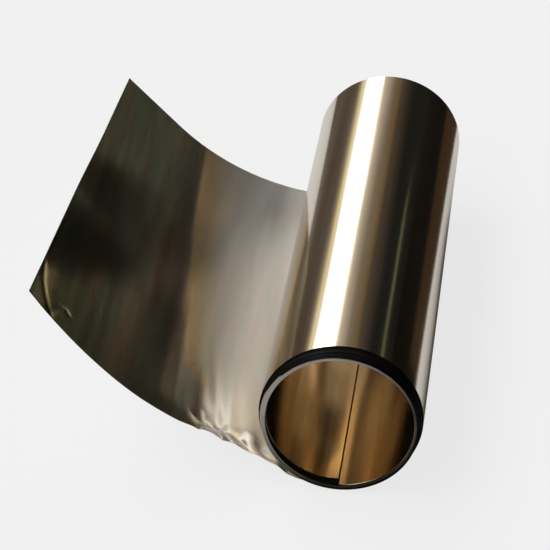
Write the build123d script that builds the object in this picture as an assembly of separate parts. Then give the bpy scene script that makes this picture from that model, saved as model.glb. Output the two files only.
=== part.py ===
from build123d import *
import os
import math

os.makedirs("parts", exist_ok=True)

# Frame: origin at the middle of the bore, +Y along the roll, +Z up, the free end of the strip toward -X.
# Strip and roll sizes in millimetres
strip_width = 300.0
bore_diameter = 76.2
wall_thickness = 3.9
sheet_thickness = 0.3

# Turns at the roll's ends, from the innermost group to the outermost:
# share of the wall at which the group ends, and how far its turns sit toward +Y
turn_groups = [
    (0.26, 0.0),
    (0.50, -0.6),
    (0.62, 1.2),
    (0.74, 2.8),
    (1.00, 6.0),
]

# Free end of the strip: it leaves the roll's lowest line flat on the floor, then each long edge
# curls up through bends, each given as its length along the strip and its radius, 0 where straight
start_run = 1.5
edge_sink = 0.05
near_flat_run = 3.0
far_flat_run = 26.0
near_bends = [(34.0, 71.0), (52.0, 0.0), (52.0, 136.0), (58.0, 610.0)]
far_bends = [(38.0, 144.0), (38.0, 144.0), (38.0, 144.0), (43.0, 0.0)]

bore_radius = bore_diameter / 2
roll_radius = bore_radius + wall_thickness
half_width = strip_width / 2
near_edge_y = turn_groups[-1][1] - half_width
far_edge_y = turn_groups[-1][1] + half_width
floor_level = -roll_radius - edge_sink


def wound_turns():
    near_end = []
    far_end = []
    inner_radius = bore_radius
    for share, shift in turn_groups:
        outer_radius = bore_radius + share * wall_thickness
        near_end.append((inner_radius, shift - half_width))
        near_end.append((outer_radius, shift - half_width))
        far_end.append((inner_radius, shift + half_width))
        far_end.append((outer_radius, shift + half_width))
        inner_radius = outer_radius
    profile = near_end + far_end[::-1]
    face = make_face(Polyline(*profile, close=True))
    return revolve(face, Axis.Y)


def flat_stretch():
    corners = [
        (start_run, near_edge_y),
        (start_run, far_edge_y),
        (-far_flat_run, far_edge_y),
        (-near_flat_run, near_edge_y),
    ]
    under = Plane.XY.offset(floor_level) * make_face(Polyline(*corners, close=True))
    return extrude(under, sheet_thickness)


def step_along(x, z, slope, length, radius):
    if radius == 0:
        return x - math.cos(slope) * length, z + math.sin(slope) * length, slope
    turn = length / radius
    new_slope = slope + turn
    x -= radius * (math.sin(new_slope) - math.sin(slope))
    z += radius * (math.cos(slope) - math.cos(new_slope))
    return x, z, new_slope


def curl_section(y, flat_run, bends):
    # Each station is a point of the underside with its slope; every bend has one at its middle too
    stations = [(-flat_run, floor_level, 0.0)]
    for length, radius in bends:
        for half in range(2):
            x, z, slope = stations[-1]
            stations.append(step_along(x, z, slope, length / 2, radius))
    under = [Vector(x, y, z) for x, z, slope in stations]
    over = []
    for x, z, slope in stations:
        rise = Vector(math.sin(slope), 0, math.cos(slope)) * sheet_thickness
        over.append(Vector(x, y, z) + rise)
    outline = [Line(over[0], under[0])]
    for side in (under, over):
        for number, (length, radius) in enumerate(bends):
            first, middle, last = side[2 * number: 2 * number + 3]
            if radius == 0:
                outline.append(Line(first, last))
            else:
                outline.append(ThreePointArc(first, middle, last))
    outline.append(Line(under[-1], over[-1]))
    return make_face(Wire(outline))


def curled_stretch():
    near = curl_section(near_edge_y, near_flat_run, near_bends)
    far = curl_section(far_edge_y, far_flat_run, far_bends)
    return loft([near, far], ruled=True)


foil_roll = wound_turns() + flat_stretch() + curled_stretch()
foil_roll.label = "foil_roll"
export_step(foil_roll, "parts/foil_roll.step")
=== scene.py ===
import bpy
import bmesh
import math
import random
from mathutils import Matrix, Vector, noise


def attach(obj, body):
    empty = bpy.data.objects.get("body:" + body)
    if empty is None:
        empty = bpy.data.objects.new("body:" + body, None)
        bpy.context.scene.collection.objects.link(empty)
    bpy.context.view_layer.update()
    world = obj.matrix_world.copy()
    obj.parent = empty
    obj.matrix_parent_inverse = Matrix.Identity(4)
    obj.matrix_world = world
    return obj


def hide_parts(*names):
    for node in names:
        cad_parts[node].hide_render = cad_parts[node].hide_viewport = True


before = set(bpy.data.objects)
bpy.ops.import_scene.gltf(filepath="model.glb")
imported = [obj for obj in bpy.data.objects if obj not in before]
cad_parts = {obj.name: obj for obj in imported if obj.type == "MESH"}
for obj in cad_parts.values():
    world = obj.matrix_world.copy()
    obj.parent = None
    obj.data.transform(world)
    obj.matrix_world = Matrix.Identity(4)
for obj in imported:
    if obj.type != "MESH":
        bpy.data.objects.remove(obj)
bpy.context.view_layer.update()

# The roll and its strip, in metres: the same driving sizes as the construction
strip_width = 0.300
bore_radius = 0.0381
roll_radius = 0.0420
roll_wall = roll_radius - bore_radius
# Groups of turns from the bore outward: share of the wall at which each ends, and how far it sits toward +Y
turn_groups = [
    (0.26, 0.0),
    (0.50, -0.0006),
    (0.62, 0.0012),
    (0.74, 0.0028),
    (1.00, 0.0060),
]
near_edge_y = turn_groups[-1][1] - strip_width / 2
far_edge_y = turn_groups[-1][1] + strip_width / 2
edge_sink = 0.00005
floor_level = -roll_radius - edge_sink

# Each long edge of the free end is a flat run, then bends given as length and radius, 0 where straight.
# The last lengths are a little short of the construction's, so that the dented sheet stays inside its box
near_flat_run = 0.003
far_flat_run = 0.026
near_bends = [(0.034, 0.071), (0.052, 0.0), (0.052, 0.136), (0.0545, 0.610)]
far_bends = [(0.038, 0.144), (0.038, 0.144), (0.038, 0.144), (0.0429, 0.0)]

# The photograph's camera
view_azimuth = math.radians(6.906)
view_elevation = math.radians(31.288)
view_distance = 1.3164
view_aim = Vector((-0.03754, -0.11072, 0.06179))
view_lens = 170.2
view_sensor = 36
view_clip_start = 0.01


# Mesh helpers

# The rows of a grid next to its edges lie this share from them, so that shading stays flat up to the edge
edge_row_share = 0.0006
row_tolerance = 0.01
# Second material slot of a sheet: painted shade on its gap or on its cut rim
sheet_shade_slot = 1


def new_piece(name, shape_mesh, materials):
    mesh = bpy.data.meshes.new(name)
    bm = bmesh.new()
    shape_mesh(bm)
    bm.to_mesh(mesh)
    bm.free()
    piece = bpy.data.objects.new(name, mesh)
    bpy.context.scene.collection.objects.link(piece)
    for material in materials:
        mesh.materials.append(material)
    return piece


def smooth_by_angle(mesh, degrees):
    for face in mesh.polygons:
        face.use_smooth = True
    mesh.set_sharp_from_angle(angle=math.radians(degrees))


def give_gauge(piece, thickness, offset, rim_slot=0):
    wall = piece.modifiers.new("gauge", "SOLIDIFY")
    wall.thickness = thickness
    wall.offset = offset
    wall.material_offset_rim = rim_slot


def smooth_step(low, high, value):
    share = min(max((value - low) / (high - low), 0.0), 1.0)
    return share * share * (3 - 2 * share)


def hump(distance, width):
    return math.exp(-(distance / width) ** 2)


def keep_edge_crisp(share, steps):
    if abs(share * steps - 1) < row_tolerance:
        return edge_row_share
    if abs((1 - share) * steps - 1) < row_tolerance:
        return 1 - edge_row_share
    return share


# The wound turns, spun about the bore's axis

turn_count = 39
spin_steps = 192
length_steps = 48
weld_distance = 0.0000005
near_end_seed = 3
far_end_seed = 8
# The cut edge of each turn is a land, then a narrow groove before the next turn
land_start = 0.000005
land_end = 0.000025
land_jitter = 0.00022
groove_start = 0.000020
groove_depth = 0.0004
# The bore's wall lies this far behind the innermost turn, which is a sheet of its own
backing_depth = 0.00012


def turn_shift(share):
    for end_share, shift in turn_groups:
        if share <= end_share:
            return shift
    return turn_groups[-1][1]


def end_profile(side, seed):
    # Points of one end from the bore outward, side being -1 for the near end and 1 for the far one
    chance = random.Random(seed)
    pitch = roll_wall / turn_count
    points = []
    for number in range(turn_count):
        inner = bore_radius + number * pitch
        outer = bore_radius + (number + 1) * pitch
        jitter = chance.uniform(0.0, land_jitter)
        land = turn_shift((number + 0.5) / turn_count) + side * strip_width / 2 - side * jitter
        points.append((inner + land_start, land))
        points.append((outer - land_end, land))
        if number < turn_count - 1:
            groove = land - side * groove_depth
            points.append((outer - groove_start, groove))
            points.append((outer, groove))
    return points


def wound_profile():
    near = end_profile(-1, near_end_seed)
    far = end_profile(1, far_end_seed)
    outside = []
    inside = []
    for step in range(1, length_steps):
        share = step / length_steps
        outside.append((roll_radius, near[-1][1] * (1 - share) + far[-1][1] * share))
        inside.append((bore_radius + backing_depth, far[0][1] * (1 - share) + near[0][1] * share))
    return near + outside + far[::-1] + inside


def shape_wound_turns(bm):
    verts = [bm.verts.new((radius, y, 0.0)) for radius, y in wound_profile()]
    edges = [bm.edges.new(pair) for pair in zip(verts, verts[1:] + verts[:1])]
    bmesh.ops.spin(
        bm, geom=verts + edges, cent=(0, 0, 0), axis=(0, 1, 0), dvec=(0, 0, 0),
        angle=2 * math.pi, steps=spin_steps, use_merge=True,
    )
    bmesh.ops.remove_doubles(bm, verts=bm.verts, dist=weld_distance)
    bmesh.ops.recalc_face_normals(bm, faces=bm.faces)
    for face in bm.faces:
        face.material_index = turn_slot(face)
    skew_turns(bm)


# At the near end the slack outer turns, from this share of the wall on, sit further back at the upper right
slack_from = 0.5
slack_zone_end = -0.13
slack_setback = 0.0022
slack_angle = math.radians(50)
# The outermost skin isn't dead true: it is set in, with waves given as height, count round and slant along it
skin_from = 0.99
skin_inset = 0.00003
skin_waves = [(0.00002, 3, 9), (0.00001, 7, -30)]


def skew_turns(bm):
    for vert in bm.verts:
        radius = math.hypot(vert.co.x, vert.co.z)
        angle = math.atan2(vert.co.z, vert.co.x)
        share = (radius - bore_radius) / roll_wall
        if vert.co.y < slack_zone_end and share > slack_from:
            lean = (1 + math.cos(angle - slack_angle)) / 2
            vert.co.y += slack_setback * lean * smooth_step(slack_from, 1.0, share)
        if share > skin_from:
            wave = 0.0
            for height, count, slant in skin_waves:
                wave += height * math.sin(count * angle + slant * vert.co.y)
            grow = 1 + (wave - skin_inset) / radius
            vert.co.x *= grow
            vert.co.z *= grow


# Material slots of the wound turns: the foil's two faces, its cut edges, and painted shade on the gaps
# between slack turns
outside_slot, inside_slot, edge_slot, gap_shade_slot = range(4)
# A face beyond these shares of the wall is the outside or the bore, if it looks straight enough that way
outside_share = 0.985
inside_share = 0.06
straight_enough = 0.7
# How far the painted shade behind the inner rim reaches along the bore
inner_shade_end = -0.1435
# Share of the wall from which the slack turns' cut edges are painted black as shade, and how it sways round
# the near end
shade_share = 0.36
shade_sway = 0.12
shade_sway_angle = math.radians(135)
# At the left the turns are tight, so the painted shade there is only a thin line
tight_share = 0.30
tight_angle = math.radians(185)
tight_sharpness = 6


def turn_slot(face):
    centre = face.calc_center_median()
    radius = math.hypot(centre.x, centre.z)
    outward = (face.normal.x * centre.x + face.normal.z * centre.z) / radius
    share = (radius - bore_radius) / roll_wall
    if share > outside_share and outward > straight_enough:
        return outside_slot
    if share < inside_share and outward < -straight_enough:
        return gap_shade_slot if centre.y < inner_shade_end else inside_slot
    if centre.y < 0 and shade_start(math.atan2(centre.z, centre.x)) < share < outside_share:
        return gap_shade_slot
    return edge_slot


def shade_start(angle):
    tight = max(0.0, math.cos(angle - tight_angle)) ** tight_sharpness
    return shade_share + shade_sway * math.cos(angle - shade_sway_angle) + tight_share * tight


# The innermost turn, whose end makes a straight seam along the bottom of the bore

inner_turn_gauge = 0.00018
inner_turn_around = 200
inner_turn_along = 60
# It starts this far inside the bore's radius and ends on it
inner_turn_rise = 0.00026
seam_angle = math.radians(-90)
seam_gap_share = 0.0032
near_overhang = 0.0004
far_inset = 0.001
# Its near edge is set back all round, and further toward the seam; the far edge takes half of both
rim_setback = 0.0014
seam_setback = 0.0048
seam_setback_from = 0.35
# Soft buckles beside the seam: their place and width round the turn, where they fade out along it, and waves
buckle_turn = 0.93
buckle_width = 0.06
buckle_fade_start = -0.06
buckle_fade_end = 0.06
buckle_height = 0.00012
buckle_pitch = 0.045
buckle_twist = 2.2
# A lip at the seam's near end
lip_height = 0.00070
lip_width = 0.03
lip_y = -0.140
lip_length = 0.018
# The turn isn't quite round
lobe_height = 0.00004
lobe_count = 5
lobe_slant = 14


def shape_inner_turn(bm):
    bmesh.ops.create_grid(bm, x_segments=inner_turn_around, y_segments=inner_turn_along, size=0.5)
    last_row = 1 - 1.5 / inner_turn_around
    for vert in bm.verts:
        turn = keep_edge_crisp(vert.co.x + 0.5, inner_turn_around)
        if last_row < turn < 1:
            turn = 1 - seam_gap_share
        length = keep_edge_crisp(vert.co.y + 0.5, inner_turn_along)
        angle = seam_angle + turn * 2 * math.pi
        setback = rim_setback + seam_setback * smooth_step(seam_setback_from, 1.0, turn)
        near = -strip_width / 2 - near_overhang + setback
        far = strip_width / 2 - far_inset + 0.5 * setback
        y = near * (1 - length) + far * length
        radius = bore_radius - inner_turn_rise + inner_turn_rise * turn - bore_wave(turn, y)
        vert.co = (radius * math.cos(angle), y, radius * math.sin(angle))
    bmesh.ops.recalc_face_normals(bm, faces=bm.faces)
    for face in bm.faces:
        centre = face.calc_center_median()
        if face.normal.x * centre.x + face.normal.z * centre.z > 0:
            face.normal_flip()
        # Faces just before the seam take the painted shade of its gap
        before_seam = seam_angle - math.atan2(centre.z, centre.x)
        if 0 < before_seam < seam_gap_share * 2 * math.pi:
            face.material_index = sheet_shade_slot


def bore_wave(turn, y):
    beside = hump(turn - buckle_turn, buckle_width) * (1 - smooth_step(buckle_fade_start, buckle_fade_end, y))
    wave = buckle_height * beside * math.sin(2 * math.pi * (y / buckle_pitch + buckle_twist * turn))
    lip = lip_height * hump(turn - 1.0, lip_width) * hump(y - lip_y, lip_length)
    return wave + lip + lobe_height * math.sin(2 * math.pi * lobe_count * turn + lobe_slant * y)


# The free end of the strip: two long edges walked bend by bend, with straight lines across

sheet_gauge = 0.0002
# Steps of the grid along the strip: the wrap up round the roll, the flat stretch, then each bend
piece_steps = [6, 16, 34, 56, 40, 74]
strip_columns = 180
# The columns crowd toward the near edge, where the dents are
near_crowding = 0.45
wrap_angle = math.radians(45)
# The wrap starts this far under the roll's skin
wrap_sink = 0.00010
far_edge_inset = 0.00003


def walk_edge(flat_run, bends, piece, share):
    # Point and slope of one edge at a share of its numbered piece, 0 being the flat run
    if piece == 0:
        return -flat_run * share, floor_level, 0.0
    x, z, slope = -flat_run, floor_level, 0.0
    for number, (length, radius) in enumerate(bends[:piece], start=1):
        run = length * share if number == piece else length
        if radius == 0:
            x -= math.cos(slope) * run
            z += math.sin(slope) * run
        else:
            new_slope = slope + run / radius
            x -= radius * (math.sin(new_slope) - math.sin(slope))
            z += radius * (math.cos(slope) - math.cos(new_slope))
            slope = new_slope
    return x, z, slope


def strip_station(row):
    # The piece of the strip that a row of the grid lies on, -1 being the wrap, and the share along it
    for piece, steps in enumerate(piece_steps, start=-1):
        if row <= steps:
            return piece, row / steps
        row -= steps


def strip_place(row, across):
    # Point of the strip's underside at a share of the way to its far edge, and the direction square to it
    piece, share = strip_station(row)
    if piece < 0:
        angle = -math.pi / 2 + wrap_angle * (1 - share)
        radius = roll_radius - wrap_sink + (wrap_sink + edge_sink) * share
        near = far = (radius * math.cos(angle), radius * math.sin(angle), -(angle + math.pi / 2))
    else:
        near = walk_edge(near_flat_run, near_bends, piece, share)
        far = walk_edge(far_flat_run, far_bends, piece, share)
    x = near[0] * (1 - across) + far[0] * across
    z = near[1] * (1 - across) + far[1] * across
    slope = near[2] * (1 - across) + far[2] * across
    y = near_edge_y * (1 - across) + (far_edge_y - far_edge_inset) * across
    return Vector((x, y, z)), Vector((math.sin(slope), 0, math.cos(slope)))


def edge_run(flat_run, bends, piece, share):
    lengths = [flat_run] + [length for length, radius in bends]
    return sum(lengths[:piece]) + lengths[piece] * share


def strip_run(row, across):
    # Distance along the strip from where it leaves the roll's lowest line
    piece, share = strip_station(row)
    if piece < 0:
        return -roll_radius * wrap_angle * (1 - share)
    near = edge_run(near_flat_run, near_bends, piece, share)
    far = edge_run(far_flat_run, far_bends, piece, share)
    return near * (1 - across) + far * across


def shape_free_end(bm):
    rows = sum(piece_steps)
    bmesh.ops.create_grid(bm, x_segments=rows, y_segments=strip_columns, size=0.5)
    reflection_place = bm.verts.layers.float.new("strip_run")
    rough = bm.verts.layers.float.new("strip_roughness")
    for vert in bm.verts:
        row = round((vert.co.x + 0.5) * rows)
        across = keep_edge_crisp(vert.co.y + 0.5, strip_columns)
        across *= near_crowding + (1 - near_crowding) * across
        place, normal = strip_place(row, across)
        run = strip_run(row, across)
        # The place on the painted reflection tones
        vert[reflection_place] = reflection_tone_place(run, across)
        vert[rough] = strip_roughness(run - roughness_lean * across, across)
        vert.co = place + normal * strip_dents(run, across * strip_width)
    bmesh.ops.recalc_face_normals(bm, faces=bm.faces)
    for face in bm.faces:
        if face.normal.z < 0:
            face.normal_flip()


# Roughness and the place on the painted reflection tones of the free end's upper face, by the run along it
# and the share of the way to its far edge

# Roughness along four lines, each with its share across and the roughness at runs along it
roughness_lines = [
    (0.05, [
        (0.0, 0.40), (0.050, 0.30), (0.080, 0.31), (0.083, 0.25), (0.089, 0.25),
        (0.096, 0.18), (0.108, 0.14), (0.145, 0.12), (0.20, 0.08),
    ]),
    (0.30, [
        (0.0, 0.45), (0.055, 0.56), (0.066, 0.50), (0.080, 0.30), (0.094, 0.28),
        (0.0965, 0.16), (0.102, 0.13), (0.145, 0.12), (0.20, 0.09),
    ]),
    (0.50, [
        (0.0, 0.44), (0.052, 0.52), (0.076, 0.50), (0.086, 0.33), (0.099, 0.29),
        (0.1015, 0.20), (0.108, 0.19), (0.145, 0.21), (0.16, 0.15),
    ]),
    (0.80, [
        (0.0, 0.46), (0.056, 0.50), (0.101, 0.54), (0.1035, 0.30), (0.108, 0.25),
        (0.130, 0.20), (0.145, 0.22), (0.16, 0.11),
    ]),
]
roughness_lean = 0.016
# The painted golden reflection ends at this run on the near edge's line, and its end leans along the strip
# from there
gold_band_run = 0.090
gold_band_lean = 0.0355
# The gold widens between these shares across
widening_start = 0.55
widening_end = 0.90
widening = 0.4
# In the near part, which fades out between two shares across, the gold starts later and ends with a jump
# between two runs
short_part = 0.12
short_part_end = 0.20
short_start = 0.0800
short_end = 0.0825
short_jump = 0.022
short_delay = 0.010


def value_along(points, place):
    for (start, first), (end, last) in zip(points, points[1:]):
        if place <= end:
            share = max(place - start, 0.0) / (end - start)
            return first * (1 - share) + last * share
    return points[-1][1]


def strip_roughness(run, across):
    rough = value_along(roughness_lines[0][1], run)
    for (line, points), (next_line, next_points) in zip(roughness_lines, roughness_lines[1:]):
        share = smooth_step(line, next_line, across)
        rough += share * (value_along(next_points, run) - value_along(points, run))
    return rough


def reflection_tone_place(run, across):
    # Place on the scale of the painted reflection tones
    place = run - gold_band_lean * across - gold_band_run
    if place < 0:
        place *= 1 - widening * smooth_step(widening_start, widening_end, across)
    short = 1 - smooth_step(short_part, short_part_end, across)
    jump = short_jump * smooth_step(short_start, short_end, run)
    return gold_band_run + place + short * (jump - short_delay)


# Dents of the free end, by the run along it and the distance in from its near edge

# They begin where the strip has left the roll
dents_start = 0.020
dents_full = 0.036
# Soft ridges that grow toward the near edge: run, width along the strip, reach in from the edge, height
soft_ridges = [
    (0.0497, 0.0045, 0.034, 0.00045),
    (0.0612, 0.0045, 0.050, 0.00065),
    (0.0690, 0.0035, 0.056, 0.00045),
    (0.0765, 0.0050, 0.046, 0.00060),
]
ridge_lean = 0.14
# Small crumples of the near edge: run, distance in from the edge, width each way, height
edge_crumples = [
    (0.036, 0.008, 0.0040, 0.006, 0.0010),
    (0.044, 0.013, 0.0045, 0.005, -0.0010),
    (0.051, 0.016, 0.0035, 0.005, 0.0008),
    (0.058, 0.005, 0.0040, 0.005, -0.0008),
    (0.066, 0.003, 0.0035, 0.005, 0.0008),
    (0.072, 0.007, 0.0040, 0.004, -0.0007),
    (0.078, 0.003, 0.0030, 0.004, 0.0006),
]
# Sharp folds between the crumples: height, reach in, the runs between which they fade out, folds per metre
fold_height = 0.0028
fold_reach = 0.015
fold_fade_start = 0.078
fold_fade_end = 0.092
folds_along = 75
folds_inward = 60
fold_seed = 5.2
least_fade = 0.01
# The near edge curls up a little before it meets the roll: run, width along the strip, reach in, height
edge_curl = (0.042, 0.016, 0.013, 0.0022)
# Sharp creases by the near free corner: a path of runs and distances in, then width and height
corner_creases = [
    ([
        (0.1965, 0.049), (0.1938, 0.039), (0.1915, 0.030), (0.1897, 0.022),
        (0.1860, 0.0135), (0.1818, 0.0065), (0.1781, 0.0005),
    ], 0.0021, 0.00005),
    ([
        (0.1785, 0.003), (0.1767, 0.009), (0.1745, 0.0145),
        (0.1722, 0.0170), (0.1700, 0.0178), (0.1684, 0.0168),
    ], 0.0018, 0.00007),
]
corner_run = 0.155
corner_reach = 0.06
# Gentle rises and falls of the near half: the runs where each starts and ends, and its height
near_bows = [
    (0.034, 0.060, 0.0008),
    (0.084, 0.108, 0.0004),
    (0.104, 0.150, -0.0011),
    (0.128, 0.178, -0.0010),
    (0.132, 0.160, -0.0005),
    (0.180, 0.200, 0.0004),
]
# A fall that comes later along the edge itself than further in
inner_fall = (0.060, 0.088, -0.0007)
edge_delay = 0.025
delay_reach = 0.010
delay_end = 0.040
# The near half's bows and fall fade out between these distances in
near_half = 0.13
near_half_end = 0.21
# Fine ripples everywhere, weaker in the outer part, and slow swells in the outer part alone
outer_part_start = 0.08
outer_part_full = 0.12
ripple_height = 0.00003
ripple_weakening = 0.000018
ripples_along = 110
ripples_inward = 5
ripple_slant = 20
ripple_seed = 3.1
swell_height = 0.00008
swells_along = 18
swells_inward = 7
swell_seed = 0.7


def distance_to_path(path, run, inward):
    best = 1.0
    for (start_run, start_in), (end_run, end_in) in zip(path, path[1:]):
        along_run = end_run - start_run
        along_in = end_in - start_in
        share = (run - start_run) * along_run + (inward - start_in) * along_in
        share = min(max(share / (along_run ** 2 + along_in ** 2), 0.0), 1.0)
        off = math.hypot(run - start_run - share * along_run, inward - start_in - share * along_in)
        best = min(best, off)
    return best


def edge_dents(run, inward):
    # The curl, ridges and crumples of the near edge
    curl_run, curl_width, curl_reach, curl_height = edge_curl
    lift = edge_folds(run, inward)
    lift += curl_height * hump(run - curl_run, curl_width) * hump(inward, curl_reach)
    for ridge_run, width, reach, height in soft_ridges:
        lean = ridge_run + ridge_lean * inward
        lift += height * hump(run - lean, width) * hump(inward, reach)
    for crumple_run, crumple_in, width, reach, height in edge_crumples:
        lift += height * hump(run - crumple_run, width) * hump(inward - crumple_in, reach)
    return lift


def edge_folds(run, inward):
    fade = hump(inward, fold_reach) * (1 - smooth_step(fold_fade_start, fold_fade_end, run))
    if fade < least_fade:
        return 0.0
    fold = noise.noise(Vector((run * folds_along, inward * folds_inward, fold_seed)))
    return fold_height * fade * abs(fold)


def sheet_ripples(run, inward):
    outer = smooth_step(outer_part_start, outer_part_full, run)
    slanted = inward * ripples_inward + run * ripple_slant
    ripple = noise.noise(Vector((run * ripples_along, slanted, ripple_seed)))
    swell = noise.noise(Vector((run * swells_along, inward * swells_inward, swell_seed)))
    return (ripple_height - ripple_weakening * outer) * ripple + swell_height * swell * outer


def near_half_bows(run, inward):
    start, end, height = inner_fall
    delay = edge_delay * (1 - smooth_step(delay_reach, delay_end, inward))
    lift = height * smooth_step(start + delay, end + delay, run)
    for start, end, height in near_bows:
        lift += height * smooth_step(start, end, run)
    return lift * (1 - smooth_step(near_half, near_half_end, inward))


def strip_dents(run, inward):
    # Height of all dents above the sheet's true surface
    away = smooth_step(dents_start, dents_full, run)
    if away == 0:
        return 0.0
    lift = edge_dents(run, inward) + sheet_ripples(run, inward) + near_half_bows(run, inward)
    if run > corner_run and inward < corner_reach:
        for path, width, height in corner_creases:
            lift += height * hump(distance_to_path(path, run, inward), width)
    return away * lift


# Materials

def add_node(tree, kind, values=None, sources=None, **settings):
    # A node with its settings, then its inputs, each set to a value or linked from a source
    node = tree.nodes.new(kind)
    for name, setting in settings.items():
        setattr(node, name, setting)
    for name, value in (values or {}).items():
        node.inputs[name].default_value = value
    for name, source in (sources or {}).items():
        tree.links.new(source, node.inputs[name])
    return node


def plain_grey(level):
    return (level, level, level, 1)


def empty_material(name):
    material = bpy.data.materials.new(name)
    material.use_nodes = True
    material.node_tree.nodes.clear()
    return material, material.node_tree


def new_finish(name, metallic=1.0):
    material, tree = empty_material(name)
    shader = add_node(tree, "ShaderNodeBsdfPrincipled", {"Metallic": metallic})
    add_node(tree, "ShaderNodeOutputMaterial", sources={"Surface": shader.outputs["BSDF"]})
    return material, tree, shader


def stretched_noise(tree, scale, detail=3.0):
    # Noise on the object's own coordinates, stretched by a scale along each axis
    place = add_node(tree, "ShaderNodeTexCoord")
    stretch = add_node(tree, "ShaderNodeMapping", {"Scale": scale}, {"Vector": place.outputs["Object"]})
    size = {"Scale": 1.0, "Detail": detail}
    return add_node(tree, "ShaderNodeTexNoise", size, {"Vector": stretch.outputs["Vector"]}).outputs["Fac"]


def spread(tree, value, low, high, start=0.3, end=0.7):
    # The value's span from start to end, stretched to run from low to high
    span = {"From Min": start, "From Max": end, "To Min": low, "To Max": high}
    return add_node(tree, "ShaderNodeMapRange", span, {"Value": value}).outputs["Result"]


def tint(tree, value, low, high):
    ends = {"A": (*low, 1), "B": (*high, 1)}
    return add_node(tree, "ShaderNodeMix", ends, {"Factor": value}, data_type="RGBA").outputs["Result"]


def multiply_colours(tree, share, first, second):
    sources = {"Factor": share, "A": first, "B": second}
    mix = add_node(tree, "ShaderNodeMix", sources=sources, data_type="RGBA", blend_type="MULTIPLY")
    return mix.outputs["Result"]


def attribute(tree, name):
    return add_node(tree, "ShaderNodeAttribute", attribute_name=name).outputs["Fac"]


def tone_scale(tree, share, tones, low, high):
    # Colour by a share of the span from low to high, through tones that each have a place on it
    ramp = add_node(tree, "ShaderNodeValToRGB", sources={"Fac": share})
    stops = ramp.color_ramp.elements
    stops.remove(stops[-1])
    for number, (place, tone) in enumerate(tones):
        position = (place - low) / (high - low)
        stop = stops[0] if number == 0 else stops.new(position)
        stop.position = position
        stop.color = (*tone, 1)
    return ramp.outputs["Color"]


relief_strength = 0.06
relief_height = 0.0001


def add_relief(tree, shader, value):
    size = {"Strength": relief_strength, "Distance": relief_height}
    bump = add_node(tree, "ShaderNodeBump", size, {"Height": value})
    tree.links.new(bump.outputs["Normal"], shader.inputs["Normal"])


# Noise scales of the roll's faces: clouds drawn out along the roll, and fine lines round it
foil_clouds = (150, 4, 150)
foil_lines = (40, 900, 40)
line_detail = 2.0


def foil_material(name, pale, deep, smooth, rough):
    material, tree, shader = new_finish(name)
    cloud = stretched_noise(tree, foil_clouds)
    tree.links.new(tint(tree, spread(tree, cloud, 0, 1), deep, pale), shader.inputs["Base Color"])
    tree.links.new(spread(tree, cloud, smooth, rough), shader.inputs["Roughness"])
    add_relief(tree, shader, stretched_noise(tree, foil_lines, line_detail))
    return material


# Tone of the free end's metal by its run in metres, a painted reflection: pale beside the roll, a golden
# band, then darker toward the free end
strip_reflection_tones = [
    (0.000, (0.78, 0.77, 0.78)),
    (0.045, (0.68, 0.665, 0.665)),
    (0.060, (0.60, 0.58, 0.57)),
    (0.070, (0.56, 0.53, 0.49)),
    (0.077, (0.56, 0.48, 0.36)),
    (0.083, (0.60, 0.45, 0.27)),
    (0.0885, (0.63, 0.44, 0.24)),
    (0.0905, (0.50, 0.42, 0.33)),
    (0.105, (0.55, 0.46, 0.37)),
    (0.130, (0.51, 0.47, 0.38)),
    (0.145, (0.47, 0.44, 0.35)),
    (0.170, (0.46, 0.47, 0.35)),
    (0.190, (0.45, 0.47, 0.33)),
]
strip_length = 0.200
# How far the edges of the painted reflection tones wander along the strip, and the noise scale of that
tone_wander = 0.010
wander_scale = (70, 5, 70)
# Wide bands from brown to green, and fine streaks from dark to pale, both drawn out across the strip
band_scale = (110, 5, 110)
brown_tint = (1.18, 0.92, 0.74)
green_tint = (0.86, 1.07, 1.02)
streak_scale = (190, 4, 190)
dark_streak = (0.74, 0.74, 0.74)
pale_streak = (1.16, 1.16, 1.16)
# The darker part of the painted reflection has the full share of both, and the pale part beside the roll a
# smaller one
dark_part_start = 0.088
dark_part_full = 0.100
pale_part_share = 0.22
# Patches of a little more or less roughness, and the fine lines of rolling
patch_scale = (90, 12, 90)
least_patch = 0.94
most_patch = 1.06
strip_lines = (16, 300, 16)
strip_line_detail = 1.0


def strip_material():
    material, tree, shader = new_finish("foil_strip_face")
    run = attribute(tree, "strip_run")
    waves = stretched_noise(tree, wander_scale)
    wander = add_node(
        tree, "ShaderNodeMath", {1: tone_wander}, {0: waves, 2: run}, operation="MULTIPLY_ADD",
    )
    half_wander = tone_wander / 2
    place = spread(tree, wander.outputs[0], 0, 1, half_wander, strip_length + half_wander)
    # Painted reflection: the tone by its place along the strip
    tone = tone_scale(tree, place, strip_reflection_tones, 0, strip_length)
    dark_part = spread(tree, run, pale_part_share, 1, dark_part_start, dark_part_full)
    bands = spread(tree, stretched_noise(tree, band_scale), 0, 1)
    banded = multiply_colours(tree, dark_part, tone, tint(tree, bands, brown_tint, green_tint))
    streaks = spread(tree, stretched_noise(tree, streak_scale, line_detail), 0, 1)
    streaked = multiply_colours(tree, dark_part, banded, tint(tree, streaks, dark_streak, pale_streak))
    tree.links.new(streaked, shader.inputs["Base Color"])
    patches = spread(tree, stretched_noise(tree, patch_scale), least_patch, most_patch)
    sources = {0: attribute(tree, "strip_roughness"), 1: patches}
    rough = add_node(tree, "ShaderNodeMath", sources=sources, operation="MULTIPLY")
    tree.links.new(rough.outputs[0], shader.inputs["Roughness"])
    add_relief(tree, shader, stretched_noise(tree, strip_lines, strip_line_detail))
    return material


# The cut edges are pale at the upper left and darken toward the lower right along this direction: painted
# shade
edge_shade_direction = (0.7, 0.0, -0.7)
edge_shade_start = -0.030
edge_shade_full = 0.020
lit_edge_tone = (0.58, 0.54, 0.48)
shaded_edge_tone = (0.10, 0.08, 0.06)
edge_clouds = (60, 60, 60)


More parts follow.
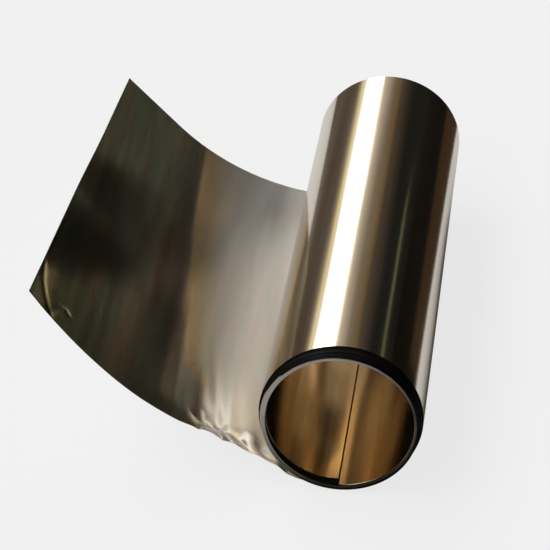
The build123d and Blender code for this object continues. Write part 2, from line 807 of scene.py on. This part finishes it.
def edge_material():
    material, tree, shader = new_finish("cut_foil_edges")
    place = add_node(tree, "ShaderNodeTexCoord").outputs["Object"]
    slant = add_node(
        tree, "ShaderNodeVectorMath", {1: edge_shade_direction}, {0: place}, operation="DOT_PRODUCT",
    )
    # Painted shade: the edges darken toward the lower right
    edge_shade = spread(tree, slant.outputs["Value"], 0, 1, edge_shade_start, edge_shade_full)
    rough = spread(tree, stretched_noise(tree, edge_clouds), 0.38, 0.55)
    tree.links.new(tint(tree, edge_shade, lit_edge_tone, shaded_edge_tone), shader.inputs["Base Color"])
    tree.links.new(rough, shader.inputs["Roughness"])
    return material


# Painted shade for the gaps and rims: nearly black, with hardly any shine
gap_shade_clouds = (90, 90, 90)
gap_shade_black = (0.002, 0.002, 0.002)
gap_shade_brown = (0.006, 0.005, 0.004)
gap_shade_shine = 0.04


def gap_shade_material():
    material, tree, shader = new_finish("painted_gap_shade", metallic=0.0)
    shader.inputs["Specular IOR Level"].default_value = gap_shade_shine
    cloud = stretched_noise(tree, gap_shade_clouds)
    tree.links.new(tint(tree, spread(tree, cloud, 0, 1), gap_shade_black, gap_shade_brown), shader.inputs["Base Color"])
    tree.links.new(spread(tree, cloud, 0.5, 0.7), shader.inputs["Roughness"])
    return material


outside_face = foil_material("foil_outside_face", (0.87, 0.80, 0.67), (0.73, 0.64, 0.49), 0.10, 0.16)
# The bore's face is a darker, more golden copy of the outside foil: painted shade inside the bore
shaded_inside_face = foil_material("foil_inside_face_painted_shade", (0.76, 0.62, 0.43), (0.58, 0.45, 0.28), 0.14, 0.21)
strip_face = strip_material()
cut_edges = edge_material()
gap_shade = gap_shade_material()


# The object

wound_turns = new_piece("wound_turns", shape_wound_turns, [outside_face, shaded_inside_face, cut_edges, gap_shade])
smooth_by_angle(wound_turns.data, 30)
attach(wound_turns, "root")
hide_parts("foil_roll")

inner_turn = new_piece("inner_turn", shape_inner_turn, [shaded_inside_face, gap_shade])
smooth_by_angle(inner_turn.data, 40)
give_gauge(inner_turn, inner_turn_gauge, -1)
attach(inner_turn, "root")

# The free end's cut rim takes the painted shade
free_end = new_piece("free_end", shape_free_end, [strip_face, gap_shade])
smooth_by_angle(free_end.data, 50)
give_gauge(free_end, sheet_gauge, 1, sheet_shade_slot)
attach(free_end, "root")


# The studio: a pale floor, and soft light with a bright window, dark walls and a brown bench around it

background_level = 0.92
floor_colour = 0.72
floor_middle = (-0.05, -0.30)
floor_width = 1.30
floor_depth = 1.64
floor_gap = 0.0002
# Share of the plain level in what the camera sees of the floor; the rest is its lit face with a faint shadow
floor_plain_share = 0.85
# Cards beside the picture, where the foil mirrors them and the camera doesn't look: name, place on the floor,
# turn from the roll's axis in degrees, length, bottom, top, colour
cards = [
    ("brown_card", (0.117, 0.13), 14, 0.6, floor_level, 0.012, (0.055, 0.033, 0.018)),
    ("black_card", (0.140, -0.07), 0, 1.4, floor_level, 0.085, (0.010, 0.009, 0.008)),
    ("olive_card", (0.140, 0.88), 0, 0.5, floor_level, 0.085, (0.125, 0.125, 0.10)),
    ("green_card", (0.300, 0.40), 0, 0.5, 0.255, 0.280, (0.24, 0.24, 0.14)),
]
# Light of the room round the roll's axis: angle from straight up toward +X in degrees, and the tone there
room_tones = [
    (-180, (0.20, 0.18, 0.15)),
    (-90, (0.09, 0.07, 0.055)),
    (-64, (0.075, 0.060, 0.047)),
    (-60, (0.22, 0.19, 0.15)),
    (-57, (0.42, 0.36, 0.26)),
    (-55.5, (0.95, 0.78, 0.40)),
    (-53.5, (0.95, 0.78, 0.40)),
    (-52, (0.62, 0.58, 0.52)),
    (-48.5, (0.80, 0.78, 0.74)),
    (-45.5, (3.8, 3.9, 4.0)),
    (-21, (3.8, 3.9, 4.0)),
    (-18.5, (0.80, 0.66, 0.42)),
    (-16.5, (0.62, 0.51, 0.34)),
    (-14, (0.46, 0.42, 0.37)),
    (-2, (0.22, 0.18, 0.14)),
    (4, (0.165, 0.135, 0.100)),
    (7, (0.175, 0.125, 0.062)),
    (11, (0.150, 0.105, 0.050)),
    (13.5, (0.070, 0.055, 0.042)),
    (24, (0.042, 0.034, 0.026)),
    (33, (0.0145, 0.0143, 0.0138)),
    (60, (0.012, 0.012, 0.010)),
    (98, (0.010, 0.010, 0.008)),
    (110, (0.20, 0.18, 0.15)),
    (180, (0.20, 0.18, 0.15)),
]


def stage_sheet(name, width, depth, material):
    def shape_sheet(bm):
        bmesh.ops.create_grid(bm, x_segments=1, y_segments=1, size=0.5)
        bmesh.ops.scale(bm, vec=(width, depth, 1), verts=bm.verts)

    sheet = new_piece(name, shape_sheet, [material])
    return sheet


def floor_material():
    material, tree = empty_material("pale_floor")
    lit = add_node(tree, "ShaderNodeBsdfDiffuse", {"Color": plain_grey(floor_colour)})
    plain = add_node(tree, "ShaderNodeEmission", {"Color": plain_grey(background_level)})
    camera_ray = add_node(tree, "ShaderNodeLightPath").outputs["Is Camera Ray"]
    share = add_node(
        tree, "ShaderNodeMath", {1: floor_plain_share}, {0: camera_ray}, operation="MULTIPLY",
    )
    sources = {"Fac": share.outputs[0], 1: lit.outputs[0], 2: plain.outputs[0]}
    mix = add_node(tree, "ShaderNodeMixShader", sources=sources)
    add_node(tree, "ShaderNodeOutputMaterial", sources={"Surface": mix.outputs[0]})
    return material


def make_floor():
    floor = stage_sheet("pale_floor", floor_width, floor_depth, floor_material())
    floor.location = (*floor_middle, floor_level - floor_gap)


def card_material(name, colour):
    material, tree = empty_material(name)
    matt = add_node(tree, "ShaderNodeBsdfDiffuse", {"Color": (*colour, 1)})
    add_node(tree, "ShaderNodeOutputMaterial", sources={"Surface": matt.outputs[0]})
    return material


def make_card(name, place, turn, length, bottom, top, colour):
    sheet = stage_sheet(name, top - bottom, length, card_material(name, colour))
    sheet.rotation_euler = (0, math.radians(90), math.radians(turn))
    sheet.location = (*place, (top + bottom) / 2)
    sheet.visible_camera = False
    sheet.visible_diffuse = False
    sheet.visible_shadow = False


def make_room():
    world = bpy.data.worlds.new("studio")
    bpy.context.scene.world = world
    world.use_nodes = True
    tree = world.node_tree
    tree.nodes.clear()
    place = add_node(tree, "ShaderNodeTexCoord").outputs["Generated"]
    parts = add_node(tree, "ShaderNodeSeparateXYZ", sources={0: place}).outputs
    angle = add_node(tree, "ShaderNodeMath", sources={0: parts["X"], 1: parts["Z"]}, operation="ARCTAN2")
    turn = spread(tree, angle.outputs[0], 0, 1, -math.pi, math.pi)
    tone = tone_scale(tree, turn, room_tones, -180, 180)
    room = add_node(tree, "ShaderNodeBackground", sources={"Color": tone})
    plain = add_node(tree, "ShaderNodeBackground", {"Color": plain_grey(background_level)})
    camera_ray = add_node(tree, "ShaderNodeLightPath").outputs["Is Camera Ray"]
    sources = {"Fac": camera_ray, 1: room.outputs[0], 2: plain.outputs[0]}
    mix = add_node(tree, "ShaderNodeMixShader", sources=sources)
    add_node(tree, "ShaderNodeOutputWorld", sources={"Surface": mix.outputs[0]})


def make_camera():
    data = bpy.data.cameras.new("photo_view")
    data.lens = view_lens
    data.sensor_width = view_sensor
    data.clip_start = view_clip_start
    camera = bpy.data.objects.new("photo_view", data)
    bpy.context.scene.collection.objects.link(camera)
    back = Vector((
        math.sin(view_azimuth) * math.cos(view_elevation),
        -math.cos(view_azimuth) * math.cos(view_elevation),
        math.sin(view_elevation),
    ))
    camera.location = view_aim + back * view_distance
    camera.rotation_euler = back.to_track_quat("Z", "Y").to_euler()
    bpy.context.scene.camera = camera


make_floor()
for card in cards:
    make_card(*card)
make_room()
make_camera()
bpy.context.scene.view_settings.view_transform = "Standard"
